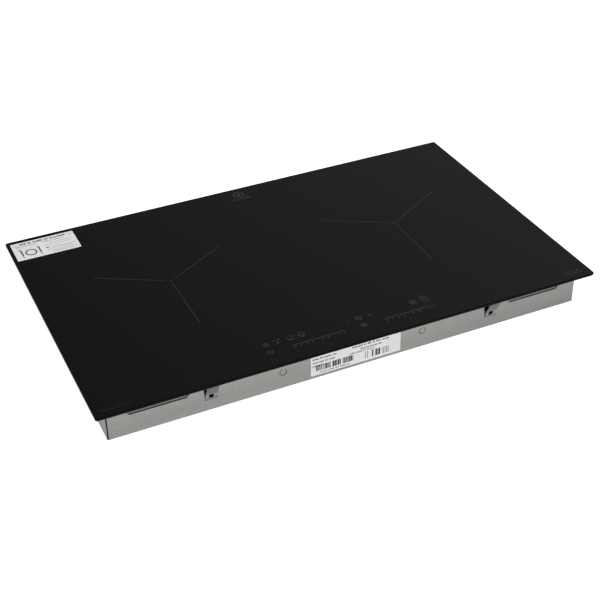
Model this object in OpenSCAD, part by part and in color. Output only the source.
// Built-in induction cooktop with two zones: a glass panel bonded to a folded steel frame, over a
// folded steel tub that holds the coils, the power electronics, the touch controls and the fan.
// Millimetres. X runs left to right, Y front to back, Z up. The origin is under the middle of the tub.

/* [Glass] */
// Width of the glass panel, left to right
glass_w = 700; // [696:1:720]
// Depth of the glass panel, front to back
glass_d = 430; // [428:1:450]
// Thickness of the glass panel
glass_t = 4; // [3.5:0.5:5]
// Radius of the glass corners in plan
glass_corner_r = 3; // [1:0.5:8]

/* [Casing] */
// Width of the bottom tub over its side walls
tub_w = 669; // [664:1:670]
// Depth of the bottom tub over its front and rear walls
tub_d = 390; // [388:1:392]
// Height from the underside of the tub to the top of the glass
total_h = 54.5; // [54.5:0.5:56]
// Thickness of the sheet steel of the tub and the frame
sheet_t = 0.8; // [0.7:0.1:0.9]
// Outside radius of the folded edges of the tub
fold_r = 2; // [1.5:0.5:3]
// Width of the open slits at the folded corners
corner_slit = 2; // [1:0.5:3]

/* [Fixing clips] */
// Distance of each spring clip from the middle
clip_x = 200; // [195:1:205]
// Width of a spring clip's leaf
clip_w = 16; // [14:1:17]
// How far a clip leaf leans out of the wall
clip_reach = 10; // [8:0.5:10]

/* [Cooking zones] */
// Distance of each zone centre from the middle
zone_x = 171; // [170:1:173]
// Distance of the zone centres behind the middle
zone_y = 20; // [15:1:22]
// Outside radius of a coil's winding
coil_r = 95; // [85:1:95]
// Free travel of the temperature sensors against their springs
sensor_travel = 2.5; // [1:0.5:2.5]

/* [Fan] */
// Outside radius of the blower wheel
fan_r = 44; // [40:1:46]
// Number of blades on the blower wheel
fan_blades = 26; // [16:1:30]

/* [Mains connection] */
// Radius of the cable gland's bore
gland_bore_r = 6; // [4:0.5:6.5]

/* [Hidden] */
$fn = 48;
cut = 1; // how far a cutting shape runs past the solid it cuts

// Levels
glass_z = total_h - glass_t;
bead_t = 0.8;
frame_z = glass_z - bead_t;
wall_top = frame_z - sheet_t;
seal_t = 2.2;
plate_z = 32;
plate_t = 1;
board_z = 8;
board_t = 1.6;
board_top = board_z + board_t;

// Casing
half_w = tub_w / 2;
half_d = tub_d / 2;
wall_in_x = half_w - sheet_t;
wall_in_y = half_d - sheet_t;
flange_out = 4;
skirt_gap = 0.4;
skirt_bottom = 25;
skirt_x = wall_in_x - skirt_gap;
skirt_y = wall_in_y - skirt_gap;
notches = [[-318, -214, -304.7, -231.2], [214, 318, 230, 304]]; // left and right ends, top then bottom
notch_bottom = 29.8;
lance_at = [[-103, 25.5], [96, 26]];
lance_r = 5;
lance_slot = 0.9;
screw_z = 38;
side_screw_y = 120;
rear_screw_x = 90;
screw_r = 2;
screw_head_r = 3.8;
screw_head_h = 2;
screw_gap = 0.05;

// Spring clips: the leaf's middle line, outwards and up from its hinge
window_w = 17.2;
window_z = [16.8, 46.3];
clip_t = 0.6;
clip_hinge_z = 17.6;
clip_curl_r = 0.7;
clip_hinge_y = half_d - sheet_t / 2;
clip_line = [[0, 0], [clip_reach * 0.28, 10], [clip_reach * 0.92, 21.5], [clip_reach * 0.9, 26]];
clip_hole = 6.2;
clip_hole_z = 20;
foot_z = [4, 16.6];

// Coils
coil_in_r = 24;
former_r = coil_r + 5;
former_t = 2;
former_rim = 3;
former_hub_r = 12;
former_hub_in_r = 9.2;
ferrite = [62, 14, 5];
ferrite_in_r = 28;
ferrites = 8;
former_z = plate_z + plate_t + 0.2 + ferrite[2];
winding_z = former_z + former_t;
winding_t = 4;
former_top = winding_z + winding_t + 0.4;
mica_t = 0.5;
pad_z = former_top + mica_t;
pad_top_gap = 0.2;
pad_hole_r = 14;
leg_ring_r = 60;
leg_r = 4;
lead_spread = 6;
lead_r = 1.5;
lead_x = 68.5;

// Temperature sensors
stem_r = 3;
stem_gap = 0.08;
stem_bottom = 34.5;
sensor_flange_r = 7.2;
sensor_flange_z = winding_z + 5.3;
sensor_flange_t = 1;
sensor_head_r = 6;
spring_r = 4.6;
spring_wire_r = 0.35;
spring_turns = 4;

// Coil plate
plate_half = [285, 105];
plate_window = [[-76, -60], [76, 90]];
post_x = [-275, -157, 157, 275];
post_y = [-75, 115];
post_r = 5;
post_hole_r = 1.9;
post_hole_d = 14;

// Power board, its tray and the parts on it
board_at = [0, -38];
board_size = [292, 164];
tray_size = [300, 172];
tray_t = 1.5;
tray_z = sheet_t + 0.1;
boss_r = 4;
board_screws_at = [for (x = [-138, 0, 138]) for (y = [-74, 74]) [x, board_at[1] + y]];
board_screw_r = 1.25;
sink_size = [120, 90];
sink_at = [0, -25];
sink_z = 13;
sink_base_t = 4;
sink_top = 30;
fins = 17;
fin_t = 1.2;
duct_half_w = 62;
duct_t = 1;
duct_y = [-72, 65];
transistors_at = [[-42, -48], [42, -48], [-42, -2], [42, -2]];
transistor = [16, 21];
rectifier = [30, 20];
capacitors_at = [[-122, -30], [-98, -30], [98, -30], [122, -30]];
capacitor = [16, 34, 20];
chokes_at = [[-110, -82], [110, -82]];
relays_at = [[96, 32], [120, 32]];
relay = [20, 15, 15];
electrolytics_at = [[-80, -98], [-60, -98]];

// Fan
fan_at = [0, 118];
fan_half = 52;
fan_wall = 1.5;
fan_z = [1, 28];
fan_inlet_r = 30;
fan_shaft_r = 1.5;
bearing_gap = 0.05;
wheel_z = [5, 22];
hub_r = 17.5;
hub_wall = 1.5;
blade_lap = 0.7; // overlap of a blade with the wheel's top disc and bottom ring
stator_r = 14.6;
vents = 18;

// Touch controls
ui_half_w = 128;
ui_y = [-190, -152];
ui_z = 36;
ui_top = 49.4;
ui_wall = 1.2;
ui_board_z = 41;
key_y = -169.5;
slider_y = -183.5;
keys_at = concat(
    [for (x = [-116.5, -101, -82.5, -67.5, -3, 13.5, 29.5, 93.5, 111]) [x, key_y]],
    [for (x = [-117, 13.5]) [x, slider_y]],
    [for (i = [0:5]) [-85 + 13.8 * i, slider_y]],
    [for (i = [0:5]) [45 + 13.8 * i, slider_y]]);
touch_spring_r = 3;
light_bars_x = [[-87, -13], [43, 117]];
light_bar_y = [-179.5, -175.5];
ribbon_x = [30, 44];
ribbon_t = 0.8;
ribbon_line = [[-157, 40.9], [-157, 31], [-155, 24], [-149, 18], [-140, 15], [-130, 14], [-112.1, 14]];

// Mains connection, at the rear wall
box_x = [222, 320];
box_y = [150, 194];
box_z = [2.2, 41];
box_wall = 1.6;
door_x = [231, 287];
door_z = [7, 35.5];
block_x = [232, 286];
block_y = [158, 172];
block_h = 16;
poles = 5;
pole_pitch = 10.5;
gland_at = [304, 22];
gland_tube_r = gland_bore_r + 2;
gland_flange_r = 11;
gland_y = [186, 200];
nut_t = 4.2;
nut_r = 11.5;
clamp_x = [293, 315];
clamp_y = [160, 170];
clamp_strap_z = 28.6;
clamp_screws_x = [295.5, 312.5];
cover_x = [227, 291];
cover_y = [195.6, 198.2];
cover_bottom = 4;
hinge_at = [196.6, 39.9]; // Y and Z of the cover's hinge
barrel_r = 1.4;
pin_r = 0.8;
lugs_x = [[228, 232], [257, 261], [286, 290]];
knuckles_x = [[232.3, 256.7], [261.3, 285.7]];

// Printed paper
label_x = [-64.9, 64];
label_z = [5, 46];
label_t = 0.15;
sticker_x = [-344.8, -254];
sticker_y = [159.3, 206.8];
sticker_t = 0.1;

// Shared shapes

module rounded_rect(w, d, r) {
    square([w - 2 * r, d], center = true);
    square([w, d - 2 * r], center = true);
    for (x = [-1, 1]) for (y = [-1, 1]) translate([x * (w / 2 - r), y * (d / 2 - r)]) circle(r);
}

module rounded_ring(half_x, half_y, band, r, h) linear_extrude(h) difference() {
    rounded_rect(2 * half_x, 2 * half_y, r);
    rounded_rect(2 * (half_x - band), 2 * (half_y - band), max(r - band, 0.5));
}

// A box between two corners given as ranges
module span(x, y, z) translate([x[0], y[0], z[0]]) cube([x[1] - x[0], y[1] - y[0], z[1] - z[0]]);

module tube(r_out, r_in, h) difference() {
    cylinder(h = h, r = r_out);
    translate([0, 0, -cut]) cylinder(h = h + 2 * cut, r = r_in);
}

// Outline of a strip of even thickness along a folded line
function unit(v) = v / norm(v);
function step_at(p, i) = unit(p[min(i + 1, len(p) - 1)] - p[max(i - 1, 0)]);
function side_points(p, s) = [for (i = [0:len(p) - 1]) p[i] + s * [-step_at(p, i)[1], step_at(p, i)[0]]];
function reversed(p) = [for (i = [len(p) - 1:-1:0]) p[i]];
function strip(p, t) = concat(side_points(p, t / 2), reversed(side_points(p, -t / 2)));

// Round wire along a path; up is any direction that the path never runs along
function ring_points(c, t, up, r, n) =
    let (a = unit(cross(up, t)), b = cross(t, a))
    [for (k = [0:n - 1]) c + r * (cos(360 * k / n) * a + sin(360 * k / n) * b)];

module wire(p, r, up, n = 8) {
    last = len(p) - 1;
    points = [for (i = [0:last]) each ring_points(p[i], step_at(p, i), up, r, n)];
    sides = [for (i = [0:last - 1]) for (k = [0:n - 1])
        [i * n + k, (i + 1) * n + k, (i + 1) * n + (k + 1) % n, i * n + (k + 1) % n]];
    ends = [[for (k = [0:n - 1]) k], [for (k = [n - 1:-1:0]) last * n + k]];
    polyhedron(points, concat(sides, ends));
}

// Points of a smooth curve through the points of p
function curve_point(a, b, c, d, t) =
    0.5 * (2 * b + (c - a) * t + (2 * a - 5 * b + 4 * c - d) * t * t + (3 * b - a - 3 * c + d) * t * t * t);
function smooth(p, steps) = let (m = len(p) - 1) concat(
    [for (i = [0:m - 1]) for (k = [0:steps - 1])
        curve_point(p[max(i - 1, 0)], p[i], p[i + 1], p[min(i + 2, m)], k / steps)],
    [p[m]]);

// Puts its children at a zone's centre, mirrored on the left: side is -1 or 1
module at_zone(side) translate([side * zone_x, zone_y, 0]) mirror([side < 0 ? 1 : 0, 0, 0]) children();

// Glass, seal and frame

module glass_panel() color([0.03, 0.03, 0.035])
    translate([0, 0, glass_z]) linear_extrude(glass_t) rounded_rect(glass_w, glass_d, glass_corner_r);

module worktop_seal() color([0.12, 0.12, 0.12])
    translate([0, 0, glass_z - seal_t]) rounded_ring(glass_w / 2 - 2.5, glass_d / 2 - 2.5, 8, 2, seal_t);

module glass_adhesive() color([0.2, 0.2, 0.21])
    translate([0, 0, frame_z]) rounded_ring(half_w + 2.5, half_d + 2.5, 5.6, 3, bead_t);

module support_frame() color([0.62, 0.64, 0.63]) difference() {
    union() {
        translate([0, 0, wall_top])
            rounded_ring(half_w + flange_out, half_d + flange_out, flange_out + skirt_gap + 2 * sheet_t, 3, sheet_t);
        translate([0, 0, skirt_bottom])
            rounded_ring(skirt_x, skirt_y, sheet_t, 3, wall_top - skirt_bottom + sheet_t / 2);
    }
    for (x = [-clip_x, clip_x])
        span([x - window_w / 2 - 2, x + window_w / 2 + 2], [-half_d, half_d], [skirt_bottom - cut, wall_top - 1.5]);
    span([box_x[0] - 4, box_x[1] + 4], [skirt_y - 2, half_d], [skirt_bottom - cut, wall_top - 1.5]);
    for (x = [-half_w, skirt_x - 7]) for (y = [-half_d, skirt_y - 7])
        span([x, x + half_w - skirt_x + 7], [y, y + half_d - skirt_y + 7], [skirt_bottom - cut, wall_top - 1.5]);
    at_frame_screws() translate([0, 0, -skirt_gap - 5]) cylinder(h = skirt_gap + 5, r = screw_r + screw_gap);
}

// Tub

// Open-topped outline with rounded lower corners
module pan_profile(w, h, r) {
    translate([-w / 2, r]) square([w, h - r]);
    translate([-w / 2 + r, 0]) square([w - 2 * r, h]);
    for (x = [-1, 1]) translate([x * (w / 2 - r), r]) circle(r);
}

module pan_block(w, d, h, r) intersection() {
    linear_extrude(h) rounded_rect(w, d, r);
    rotate([90, 0, 90]) translate([0, 0, -w / 2]) linear_extrude(w) pan_profile(d, h, r);
    rotate([90, 0, 0]) translate([0, 0, -d / 2]) linear_extrude(d) pan_profile(w, h, r);
}

// Cuts a shape drawn in X and Z through the front wall
module through_front() translate([0, -half_d + 3, 0]) rotate([90, 0, 0]) linear_extrude(6) children();

// Lanced disc: a slot that leaves the disc hanging from a bridge at its top
module lance_slot_outline() difference() {
    circle(lance_r);
    circle(lance_r - lance_slot);
    translate([-1.6, 0]) square([3.2, lance_r + cut]);
}

module fan_vents() for (i = [0:vents - 1]) rotate(360 * i / vents) {
    span([8, 17], [-0.9, 0.9], [-cut, 2]);
    span([18.5, 28.5], [-1.6, 1.6], [-cut, 2]);
}

module warm_air_slots() for (i = [-7:7])
    span([9 * i - 1.3, 9 * i + 1.3], [-148, -126], [-cut, sheet_t + cut]);

// Puts its children's Z axis outwards on the tub's walls where the screws go in
module at_frame_screws() {
    for (s = [-1, 1]) for (y = [-side_screw_y, side_screw_y])
        translate([s * half_w, y, screw_z]) rotate([0, s * 90, 0]) children();
    for (x = [-rear_screw_x, rear_screw_x])
        translate([x, half_d, screw_z]) rotate([-90, 0, 0]) children();
}

module corner_slits() for (a = [0, 180]) rotate(a) {
    span([-half_w - cut, -half_w + corner_slit], [-half_d - cut, -half_d + corner_slit], [fold_r, wall_top + cut]);
    span([wall_in_x - cut, half_w + cut], [-half_d + fold_r, -half_d + fold_r + corner_slit], [fold_r, wall_top + cut]);
}

module bottom_tub() color([0.58, 0.6, 0.58]) difference() {
    pan_block(tub_w, tub_d, wall_top, fold_r);
    translate([0, 0, sheet_t])
        pan_block(tub_w - 2 * sheet_t, tub_d - 2 * sheet_t, wall_top, fold_r - sheet_t);
    corner_slits();
    through_front() for (n = notches)
        polygon([[n[0], wall_top + cut], [n[2], notch_bottom], [n[3], notch_bottom], [n[1], wall_top + cut]]);
    through_front() for (p = lance_at) translate(p) lance_slot_outline();
    for (x = [-clip_x, clip_x])
        span([x - window_w / 2, x + window_w / 2], [-half_d - cut, half_d + cut], window_z);
    span(door_x, [wall_in_y - cut, half_d + cut], door_z);
    translate([gland_at[0], wall_in_y - cut, gland_at[1]]) rotate([-90, 0, 0])
        cylinder(h = sheet_t + 2 * cut, r = gland_tube_r + screw_gap);
    at_frame_screws() translate([0, 0, -sheet_t - cut]) cylinder(h = sheet_t + 2 * cut, r = screw_r + 0.2);
    translate(fan_at) fan_vents();
    warm_air_slots();
}

module frame_spacers() color([0.75, 0.75, 0.72]) at_frame_screws()
    translate([0, 0, -sheet_t - skirt_gap]) tube(5, screw_r + screw_gap, skirt_gap);

module frame_screws() color([0.8, 0.8, 0.8]) at_frame_screws() difference() {
    union() {
        cylinder(h = screw_head_h, r = screw_head_r);
        translate([0, 0, -8]) cylinder(h = 8, r = screw_r);
    }
    for (a = [0, 90]) rotate(a) translate([-2, -0.4, screw_head_h - 1.2]) cube([4, 0.8, 2]);
}

// Spring clips

// Draws its children as on the front wall: side is -1 for the front and 1 for the rear
module on_wall(x, side) translate([x, 0, 0]) mirror([0, side > 0 ? 1 : 0, 0]) children();

module clip_feet() color([0.5, 0.52, 0.51]) for (x = [-clip_x, clip_x]) for (s = [-1, 1])
    on_wall(x, s) span([-clip_w / 2, clip_w / 2], [-wall_in_y, -wall_in_y + clip_t], foot_z);

module clip_leaf(x, side) color([0.42, 0.43, 0.42]) on_wall(x, side) difference() {
    translate([-clip_w / 2, -clip_hinge_y, clip_hinge_z]) rotate([90, 0, 90]) {
        linear_extrude(clip_w) polygon(strip([for (p = clip_line) [-p[0], p[1]]], clip_t));
        cylinder(h = clip_w, r = clip_curl_r);
    }
    translate([0, -clip_hinge_y, clip_hole_z + clip_hole / 2]) cube([clip_hole, 12, clip_hole], center = true);
}

module clip_front_left() clip_leaf(-clip_x, -1);
module clip_front_right() clip_leaf(clip_x, -1);
module clip_rear_left() clip_leaf(-clip_x, 1);
module clip_rear_right() clip_leaf(clip_x, 1);

// Coil plate and its posts

module at_posts() for (x = post_x) for (y = post_y) translate([x, y, 0]) children();

module coil_plate() color([0.8, 0.81, 0.82]) difference() {
    translate([0, zone_y, plate_z]) linear_extrude(plate_t) rounded_rect(2 * plate_half[0], 2 * plate_half[1], 8);
    span([plate_window[0][0], plate_window[1][0]], [plate_window[0][1], plate_window[1][1]],
        [plate_z - cut, plate_z + plate_t + cut]);
    for (s = [-1, 1]) at_zone(s) translate([0, 0, plate_z - cut]) cylinder(h = plate_t + 2 * cut, r = 10);
    at_posts() translate([0, 0, plate_z - cut]) cylinder(h = plate_t + 2 * cut, r = screw_r + 0.2);
}

module plate_posts() color([0.72, 0.72, 0.7]) at_posts() difference() {
    translate([0, 0, sheet_t]) cylinder(h = plate_z - sheet_t, r = post_r);
    translate([0, 0, plate_z - post_hole_d]) cylinder(h = post_hole_d + cut, r = post_hole_r);
}

module plate_screws() color([0.8, 0.8, 0.8]) at_posts() translate([0, 0, plate_z + plate_t]) difference() {
    union() {
        cylinder(h = screw_head_h, r = screw_head_r);
        translate([0, 0, -10]) cylinder(h = 10, r = post_hole_r - screw_gap);
    }
    for (a = [0, 90]) rotate(a) translate([-2, -0.4, screw_head_h - 1.2]) cube([4, 0.8, 2]);
}

// Coils, ferrites and insulation

module coil_former(side) color([0.16, 0.16, 0.17]) at_zone(side) difference() {
    union() {
        translate([0, 0, former_z]) cylinder(h = former_t, r = former_r, $fn = 96);
        translate([0, 0, winding_z]) tube(former_r, former_r - former_rim, former_top - winding_z, $fn = 96);
        translate([0, 0, winding_z]) cylinder(h = former_top - winding_z, r = former_hub_r);
        for (i = [0:3]) rotate(22.5 + 90 * i) translate([leg_ring_r, 0, plate_z + plate_t])
            cylinder(h = former_z - plate_z - plate_t, r = leg_r);
    }
    translate([0, 0, winding_z]) cylinder(h = former_top, r = former_hub_in_r);
    translate([0, 0, former_z - cut]) cylinder(h = former_t + 2 * cut, r = stem_r + stem_gap);
    span([-former_r - cut, -former_r + 2 * former_rim], [-lead_spread - 3, lead_spread + 3],
        [winding_z, former_top + cut]);
}

module coil_former_left() coil_former(-1);
module coil_former_right() coil_former(1);

module ferrite_bars(side) color([0.2, 0.2, 0.21]) at_zone(side) for (i = [0:ferrites - 1])
    rotate(360 * i / ferrites) translate([ferrite_in_r, -ferrite[1] / 2, plate_z + plate_t + 0.1]) cube(ferrite);

module ferrites_left() ferrite_bars(-1);
module ferrites_right() ferrite_bars(1);

module coil_winding(side) color([0.72, 0.42, 0.2]) at_zone(side)
    translate([0, 0, winding_z]) tube(coil_r, coil_in_r, winding_t, $fn = 96);

module coil_winding_left() coil_winding(-1);
module coil_winding_right() coil_winding(1);

module mica_disc(side) color([0.75, 0.7, 0.55]) at_zone(side)
    translate([0, 0, former_top]) tube(former_r - 1, former_hub_in_r + 1, mica_t, $fn = 96);

module mica_disc_left() mica_disc(-1);
module mica_disc_right() mica_disc(1);

module insulation_pad(side) color([0.9, 0.9, 0.87]) at_zone(side)
    translate([0, 0, pad_z]) tube(former_r - 2, pad_hole_r, glass_z - pad_top_gap - pad_z, $fn = 96);

module insulation_pad_left() insulation_pad(-1);
module insulation_pad_right() insulation_pad(1);

module temperature_sensor(side) color([0.85, 0.85, 0.82]) at_zone(side) {
    translate([0, 0, stem_bottom]) cylinder(h = sensor_flange_z - stem_bottom, r = stem_r);
    translate([0, 0, sensor_flange_z]) cylinder(h = sensor_flange_t, r = sensor_flange_r);
    translate([0, 0, sensor_flange_z + sensor_flange_t])
        cylinder(h = glass_z - 0.1 - sensor_flange_z - sensor_flange_t, r = sensor_head_r);
}

module temperature_sensor_left() temperature_sensor(-1);
module temperature_sensor_right() temperature_sensor(1);

module sensor_spring(side) color([0.7, 0.7, 0.7]) at_zone(side) {
    low = winding_z + spring_wire_r + 0.02;
    rise = sensor_flange_z - spring_wire_r - 0.02 - low;
    count = spring_turns * 14;
    wire([for (i = [0:count]) [spring_r * cos(360 * i / 14), spring_r * sin(360 * i / 14), low + rise * i / count]],
        spring_wire_r, [0, 0, 1], 6);
}

module sensor_spring_left() sensor_spring(-1);
module sensor_spring_right() sensor_spring(1);

// Power electronics

module board_tray() color([0.85, 0.85, 0.83]) difference() {
    union() {
        translate([board_at[0], board_at[1], tray_z]) linear_extrude(tray_t) square(tray_size, center = true);
        for (p = board_screws_at) translate([p[0], p[1], tray_z]) cylinder(h = board_z - tray_z, r = boss_r);
    }
    for (p = board_screws_at) translate([p[0], p[1], tray_z + tray_t])
        cylinder(h = board_z, r = board_screw_r + screw_gap);
}

module power_board() color([0.1, 0.32, 0.16]) difference() {
    translate([board_at[0], board_at[1], board_z]) linear_extrude(board_t) square(board_size, center = true);
    for (p = board_screws_at) translate([p[0], p[1], board_z - cut]) cylinder(h = board_t + 2 * cut, r = 1.7);
}

module board_screws() color([0.8, 0.8, 0.8]) for (p = board_screws_at) translate([p[0], p[1], board_top])
    difference() {
        union() {
            cylinder(h = 1.8, r = 2.8);
            translate([0, 0, -6]) cylinder(h = 6, r = board_screw_r);
        }
        for (a = [0, 90]) rotate(a) translate([-1.6, -0.35, 0.8]) cube([3.2, 0.7, 2]);
    }

module heat_sink() color([0.78, 0.79, 0.8]) translate([sink_at[0], sink_at[1], 0]) {
    half = [sink_size[0] / 2, sink_size[1] / 2];
    span([-half[0], half[0]], [-half[1], half[1]], [sink_z, sink_z + sink_base_t]);
    for (i = [0:fins - 1]) {
        x = -half[0] + i * (sink_size[0] - fin_t) / (fins - 1);
        span([x, x + fin_t], [-half[1], half[1]], [sink_z + sink_base_t, sink_top]);
    }
    for (x = [-1, 1]) for (y = [-1, 1])
        translate([x * (half[0] - 6), y * (half[1] - 6), board_top]) cylinder(h = sink_z - board_top, r = 3);
}

module air_duct() color([0.2, 0.2, 0.22]) {
    span([-duct_half_w - duct_t, duct_half_w + duct_t], duct_y, [sink_top + 0.4, sink_top + 0.4 + duct_t]);
    for (x = [-duct_half_w - duct_t, duct_half_w])
        span([x, x + duct_t], duct_y, [board_top, sink_top + 0.4]);
}

module power_transistors() color([0.12, 0.12, 0.12]) for (p = transistors_at)
    translate([p[0] - transistor[0] / 2, p[1] - transistor[1] / 2, board_top])
        cube([transistor[0], transistor[1], sink_z - board_top]);

module bridge_rectifier() color([0.14, 0.14, 0.14])
    translate([sink_at[0] - rectifier[0] / 2, sink_at[1] - rectifier[1] / 2, board_top])
        cube([rectifier[0], rectifier[1], sink_z - board_top]);

module film_capacitors() color([0.2, 0.3, 0.6]) for (p = capacitors_at)
    translate([p[0] - capacitor[0] / 2, p[1] - capacitor[1] / 2, board_top]) cube(capacitor);

module electrolytic_capacitors() color([0.15, 0.17, 0.22]) for (p = electrolytics_at)
    translate([p[0], p[1], board_top]) cylinder(h = 18, r = 8);

module filter_chokes() color([0.7, 0.42, 0.2]) for (p = chokes_at)
    translate([p[0], p[1], board_top + 7]) rotate_extrude() translate([11, 0]) circle(6);

module relays() color([0.15, 0.15, 0.17]) for (p = relays_at)
    translate([p[0] - relay[0] / 2, p[1] - relay[1] / 2, board_top]) cube(relay);

module board_connectors() color([0.9, 0.9, 0.87]) {
    span([ribbon_x[0] - 2, ribbon_x[1] + 2], [-112, -105], [board_top, board_top + 8]);
    span([127, 145], [-2, 22], [board_top, board_top + 10]);
    for (s = [-1, 1]) for (y = [-lead_spread, lead_spread])
        translate([s * lead_x - 4, zone_y + y - 4, board_top]) cube([8, 8, 6]);
}

// Fan

module fan_housing() color([0.14, 0.14, 0.15]) translate([fan_at[0], fan_at[1], 0]) difference() {
    span([-fan_half, fan_half], [-fan_half, fan_half], fan_z);
    inner = fan_half - fan_wall;
    span([-inner, inner], [-fan_half - cut, inner], [fan_z[0] + fan_wall, fan_z[1] - fan_wall]);
    translate([0, 0, fan_z[0] - cut]) cylinder(h = fan_wall + 2 * cut, r = fan_inlet_r);
}

module fan_motor() color([0.3, 0.3, 0.32])
    translate([fan_at[0], fan_at[1], wheel_z[0] + 6])
        tube(stator_r, fan_shaft_r + bearing_gap, fan_z[1] - fan_wall - wheel_z[0] - 6);

module fan_wheel() color([0.1, 0.1, 0.11]) translate([fan_at[0], fan_at[1], 0]) {
    low = wheel_z[0];
    high = wheel_z[1];
    rotate_extrude() {
        polygon([[0, low], [hub_r, low], [hub_r, high - hub_wall], [fan_r, high - hub_wall], [fan_r, high],
            [hub_r - hub_wall, high], [hub_r - hub_wall, low + 4], [fan_shaft_r, low + 4],
            [fan_shaft_r, high + 1], [0, high + 1]]);
        translate([fan_r - hub_wall, low]) square([hub_wall, hub_wall]);
    }
    for (i = [0:fan_blades - 1]) rotate(360 * i / fan_blades) translate([fan_r - 11, 0, low + hub_wall - blade_lap])
        rotate(-35) translate([0, -0.5, 0]) cube([12, 1, high - low - 2 * hub_wall + 2 * blade_lap]);
}

// Touch controls

module control_tray() color([0.13, 0.13, 0.14]) difference() {
    union() {
        difference() {
            span([-ui_half_w, ui_half_w], ui_y, [ui_z, ui_top]);
            span([-ui_half_w + ui_wall, ui_half_w - ui_wall], [ui_y[0] + ui_wall, ui_y[1] - ui_wall],
                [ui_z + ui_wall, ui_top + cut]);
        }
        for (y = [ui_y[0] + ui_wall - 0.1, ui_y[1] - ui_wall - 1.9])
            span([-ui_half_w + ui_wall, ui_half_w - ui_wall], [y, y + 2], [ui_z, ui_board_z]);
        for (x = [-118, 118]) for (y = [-184, -158])
            translate([x, y, sheet_t]) cylinder(h = ui_z - sheet_t + ui_wall / 2, r = 4);
    }
    span([ribbon_x[0] - 1.5, ribbon_x[1] + 1.5], [-159.5, -154.2], [ui_z - cut, ui_board_z - 0.05]);
}

module control_board() color([0.1, 0.32, 0.16])
    span([-ui_half_w + 3, ui_half_w - 3], [ui_y[0] + 1.6, ui_y[1] - 1.6], [ui_board_z, ui_board_z + board_t]);

module touch_springs() color([0.75, 0.72, 0.6]) for (p = keys_at)
    translate([p[0], p[1], ui_board_z + board_t])
        tube(touch_spring_r, touch_spring_r - 0.6, glass_z - 0.1 - ui_board_z - board_t, $fn = 24);

module light_bars() color([0.92, 0.92, 0.92]) for (x = light_bars_x)
    span(x, light_bar_y, [ui_board_z + board_t, ui_top]);

module ribbon_cable() color([0.8, 0.8, 0.78]) translate([ribbon_x[0], 0, 0])
    rotate([90, 0, 90]) linear_extrude(ribbon_x[1] - ribbon_x[0]) polygon(strip(smooth(ribbon_line, 3), ribbon_t));

// Wiring

module coil_leads() color([0.85, 0.8, 0.7]) for (s = [-1, 1]) for (y = [-lead_spread, lead_spread])
    mirror([s < 0 ? 1 : 0, 0, 0]) translate([0, zone_y + y, 0])
        wire(smooth([[zone_x - coil_r - 0.5, 0, winding_z + 2], [lead_x + 3.5, 0, winding_z + 1.9],
            [lead_x + 1, 0, winding_z + 0.8], [lead_x, 0, winding_z - 1.7], [lead_x, 0, plate_z - 6],
            [lead_x, 0, board_top + 6.05]], 4), lead_r, [0, 1, 0]);

module mains_wires() color([0.45, 0.25, 0.15]) for (i = [0:2])
    wire(smooth([[250 + 6 * i, block_y[0] - 0.1, 10], [250 + 6 * i, 140, 10], [238 + 6 * i, 116 - 6 * i, 10.5],
        [196 + 2 * i, 64 - 8 * i, 12], [170, 24 - 6 * i, 14], [145.3, 16 - 6 * i, 14.5]], 5), 1.4, [0, 0, 1]);

// Mains connection

module terminal_box() color([0.9, 0.9, 0.88]) difference() {
    span(box_x, box_y, box_z);
    span([box_x[0] + box_wall, box_x[1] - box_wall], [box_y[0] + box_wall, box_y[1] + cut],
        [box_z[0] + box_wall, box_z[1] - box_wall]);
    span([246, 266], [box_y[0] - cut, box_y[0] + box_wall + cut], [7, 14]);
}

module terminal_block() color([0.93, 0.93, 0.9]) difference() {
    low = box_z[0] + box_wall;
    span(block_x, block_y, [low, low + block_h]);
    for (i = [0:poles - 1]) {
        x = pole_x(i);
        span([x - 2.2, x + 2.2], [block_y[1] - 8, block_y[1] + cut], [low + 3, low + 7.4]);
        span([x - 2.8, x + 2.8], [block_y[0] + 5, block_y[1] - 3], [low + block_h - 4, low + block_h + cut]);
    }
}

function pole_x(i) = (block_x[0] + block_x[1]) / 2 + (i - (poles - 1) / 2) * pole_pitch;

module terminal_screws() color([0.8, 0.78, 0.6]) for (i = [0:poles - 1])
    translate([pole_x(i), (block_y[0] + block_y[1]) / 2 + 1, box_z[0] + box_wall + block_h - 4]) difference() {
        cylinder(h = 3.4, r = 2.2);
        translate([-3, -0.4, 2.4]) cube([6, 0.8, 2]);
    }

module cable_gland() color([0.12, 0.12, 0.13]) translate([gland_at[0], 0, gland_at[1]]) difference() {
    union() {
        translate([0, gland_y[0], 0]) rotate([-90, 0, 0]) cylinder(h = gland_y[1] - gland_y[0], r = gland_tube_r);
        translate([0, half_d, 0]) rotate([-90, 0, 0]) cylinder(h = gland_y[1] - half_d, r = gland_flange_r);
        translate([0, wall_in_y, 0]) rotate([90, 0, 0]) cylinder(h = nut_t, r = nut_r, $fn = 6);
    }
    translate([0, gland_y[0] - cut, 0]) rotate([-90, 0, 0])
        cylinder(h = gland_y[1] - gland_y[0] + 2 * cut, r = gland_bore_r);
}

module cable_clamp() color([0.85, 0.85, 0.83]) {
    low = box_z[0] + box_wall;
    difference() {
        union() {
            span(clamp_x, clamp_y, [low, gland_at[1] - gland_bore_r]);
            span(clamp_x, clamp_y, [clamp_strap_z, clamp_strap_z + 3]);
        }
        for (x = clamp_screws_x) translate([x, (clamp_y[0] + clamp_y[1]) / 2, low + 3]) cylinder(h = 40, r = 1.6);
    }
    for (x = clamp_screws_x) translate([x, (clamp_y[0] + clamp_y[1]) / 2, low + 4]) {
        cylinder(h = clamp_strap_z + 3 - low - 4, r = 1.5);
        translate([0, 0, clamp_strap_z + 3 - low - 4]) cylinder(h = 1.8, r = 2.8);
    }
}

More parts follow.
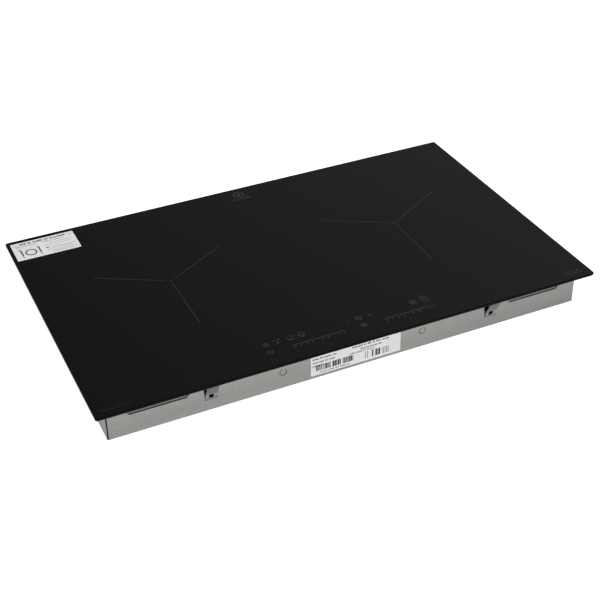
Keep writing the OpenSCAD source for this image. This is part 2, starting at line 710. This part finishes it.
module on_hinge(x) translate([x[0], hinge_at[0], hinge_at[1]]) rotate([0, 90, 0]) children();

module terminal_cover() color([0.2, 0.2, 0.21]) difference() {
    union() {
        span(cover_x, cover_y, [cover_bottom, hinge_at[1] - barrel_r - 0.4]);
        for (k = knuckles_x) {
            on_hinge(k) cylinder(h = k[1] - k[0], r = barrel_r);
            span(k, [hinge_at[0], cover_y[1] - 0.2], [hinge_at[1] - barrel_r - 1, hinge_at[1]]);
        }
    }
    on_hinge([cover_x[0] - cut, 0]) cylinder(h = cover_x[1] - cover_x[0] + 2 * cut, r = pin_r + bearing_gap);
    span([253, 265], [cover_y[1] - 0.8, cover_y[1] + cut], [cover_bottom + 3, cover_bottom + 6]);
}

module cover_hinge() color([0.7, 0.7, 0.68]) {
    for (l = lugs_x) {
        on_hinge(l) cylinder(h = l[1] - l[0], r = barrel_r);
        span(l, [half_d, hinge_at[0]], [hinge_at[1], hinge_at[1] + barrel_r]);
    }
    on_hinge([lugs_x[0][0], 0]) cylinder(h = lugs_x[2][1] - lugs_x[0][0], r = pin_r);
}

// Printed paper

module rating_label() color([0.9, 0.9, 0.9]) span(label_x, [-half_d - label_t, -half_d], label_z);

module info_sticker() color([0.9, 0.9, 0.9]) span(sticker_x, sticker_y, [total_h, total_h + sticker_t]);

glass_panel();
worktop_seal();
glass_adhesive();
support_frame();
bottom_tub();
frame_spacers();
frame_screws();
clip_feet();
clip_front_left();
clip_front_right();
clip_rear_left();
clip_rear_right();
coil_plate();
plate_posts();
plate_screws();
coil_former_left();
coil_former_right();
ferrites_left();
ferrites_right();
coil_winding_left();
coil_winding_right();
mica_disc_left();
mica_disc_right();
insulation_pad_left();
insulation_pad_right();
temperature_sensor_left();
temperature_sensor_right();
sensor_spring_left();
sensor_spring_right();
board_tray();
power_board();
board_screws();
heat_sink();
air_duct();
power_transistors();
bridge_rectifier();
film_capacitors();
electrolytic_capacitors();
filter_chokes();
relays();
board_connectors();
fan_housing();
fan_motor();
fan_wheel();
control_tray();
control_board();
touch_springs();
light_bars();
ribbon_cable();
coil_leads();
mains_wires();
terminal_box();
terminal_block();
terminal_screws();
terminal_cover();
cover_hinge();
cable_gland();
cable_clamp();
rating_label();
info_sticker();
